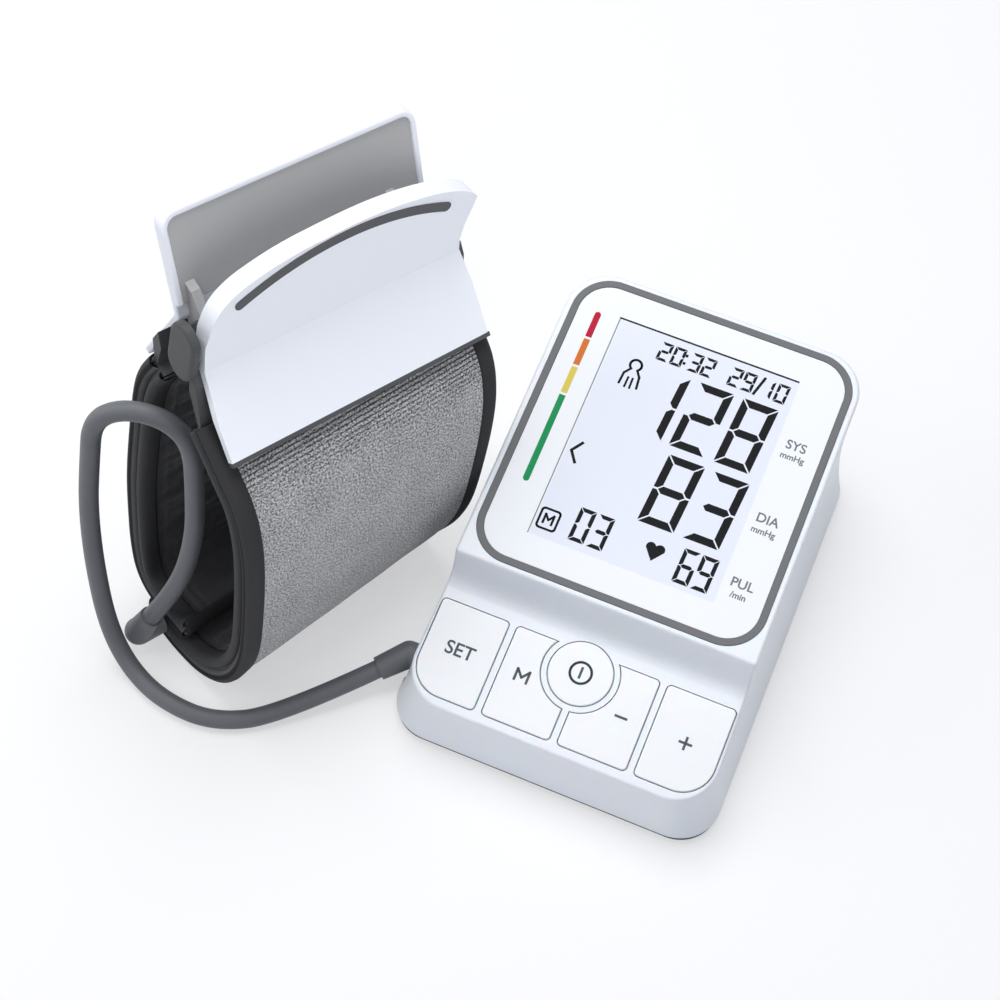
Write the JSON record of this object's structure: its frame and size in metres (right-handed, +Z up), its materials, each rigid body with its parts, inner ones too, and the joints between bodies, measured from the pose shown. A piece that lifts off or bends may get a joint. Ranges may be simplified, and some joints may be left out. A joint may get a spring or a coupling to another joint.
{
  "type": "upper arm blood pressure monitor",
  "caption": "Desk blood pressure monitor with a sloped display, push keys, an air hose and a spring clip arm cuff",
  "frame": {"origin": "centre of the monitor's base, on the table it stands on", "axes": "+Z up, -Y towards the user and the keys, +X across the monitor to the right"},
  "size_m": [0.2099, 0.178, 0.1671],
  "materials": {
    "case_white": "gloss",
    "case_dark": "satin",
    "trim_grey": "satin",
    "key_white": "gloss",
    "window_clear": "gloss",
    "lcd_glass": "gloss",
    "inner_white": "satin",
    "board_green": "satin",
    "metal_bright": "satin",
    "metal_dark": "satin",
    "rubber_dark": "matte",
    "rubber_clear": "satin",
    "cell_green": "satin",
    "hose_grey": "matte",
    "handle_white": "gloss",
    "panel_grey": "satin",
    "grip_grey": "matte",
    "bracket_grey": "satin",
    "fabric_grey": "matte",
    "lining_dark": "satin",
    "binding_dark": "matte",
    "bladder_grey": "satin",
    "copper": "satin"
  },
  "bodies": {
    "monitor_and_front_jaw": {"top_cover": "case_white", "bottom_cover": "case_dark", "window_trim": "trim_grey", "display_window": "window_clear", "lcd_panel": "lcd_glass", "lcd_backlight": "inner_white", "lcd_holder": "inner_white", "main_board": "board_green", "key_board": "board_green", "key_domes": "metal_bright", "board_screws": "metal_bright", "board_ribbon": "copper", "batteries": "cell_green", "battery_springs": "metal_bright", "battery_contacts": "metal_bright", "case_screws": "metal_dark", "rubber_feet": "rubber_dark", "air_socket": "case_dark", "pump_motor": "metal_bright", "pump_head": "inner_white", "pump_cushion": "rubber_dark", "exhaust_valve": "metal_dark", "air_manifold": "inner_white", "pressure_sensor": "case_dark", "inner_tubes": "rubber_clear", "wire_leads": "copper", "hose_plug": "hose_grey", "air_hose": "hose_grey", "hose_port": "hose_grey", "front_cuff_cover": "fabric_grey", "front_jaw_frame": "inner_white", "front_bladder": "bladder_grey", "front_lining": "lining_dark", "front_binding": "binding_dark", "front_handle_shell": "handle_white", "front_grip_insert": "grip_grey", "edge_strip": "grip_grey", "front_hinge_brackets": "bracket_grey", "hinge_pin": "metal_bright", "clip_springs": "metal_bright"},
    "set_key": {"set_button": "key_white"},
    "memory_key": {"memory_button": "key_white"},
    "minus_key": {"minus_button": "key_white"},
    "plus_key": {"plus_button": "key_white"},
    "power_key": {"power_button": "key_white"},
    "battery_lid": {"battery_cover": "case_dark"},
    "rear_jaw": {"rear_cuff_cover": "fabric_grey", "rear_jaw_frame": "inner_white", "rear_bladder": "bladder_grey", "rear_lining": "lining_dark", "rear_binding": "binding_dark", "rear_handle_shell": "handle_white", "rear_handle_panel": "panel_grey", "rear_hinge_brackets": "bracket_grey"}
  },
  "joints": [
    {"name": "set_key_press", "type": "slide", "parent": "monitor_and_front_jaw", "child": "set_key", "axis": [0, 0.2181, -0.9759], "range_m": [0, 0.0008], "stiffness_N_per_m": 900, "springref_m": -0.0006},
    {"name": "memory_key_press", "type": "slide", "parent": "monitor_and_front_jaw", "child": "memory_key", "axis": [0, 0.2181, -0.9759], "range_m": [0, 0.0008], "stiffness_N_per_m": 900, "springref_m": -0.0006},
    {"name": "minus_key_press", "type": "slide", "parent": "monitor_and_front_jaw", "child": "minus_key", "axis": [0, 0.2181, -0.9759], "range_m": [0, 0.0008], "stiffness_N_per_m": 900, "springref_m": -0.0006},
    {"name": "plus_key_press", "type": "slide", "parent": "monitor_and_front_jaw", "child": "plus_key", "axis": [0, 0.2181, -0.9759], "range_m": [0, 0.0008], "stiffness_N_per_m": 900, "springref_m": -0.0006},
    {"name": "power_key_press", "type": "slide", "parent": "monitor_and_front_jaw", "child": "power_key", "axis": [0, 0.2181, -0.9759], "range_m": [0, 0.0008], "stiffness_N_per_m": 900, "springref_m": -0.0006},
    {"name": "rear_jaw_swing", "type": "hinge", "parent": "monitor_and_front_jaw", "child": "rear_jaw", "pos_m": [-0.1046, -0.01583, 0.13009], "axis": [0.4693, 0.8691, -0.1564], "range_deg": [0, 22], "stiffness_Nm_per_rad": 0.8, "springref_deg": -22.92},
    {"name": "battery_lid_swing", "type": "hinge", "parent": "monitor_and_front_jaw", "child": "battery_lid", "pos_m": [0, 0.012, 0.00135], "axis": [-1, 0, 0], "range_deg": [0, 95]}
  ]
}
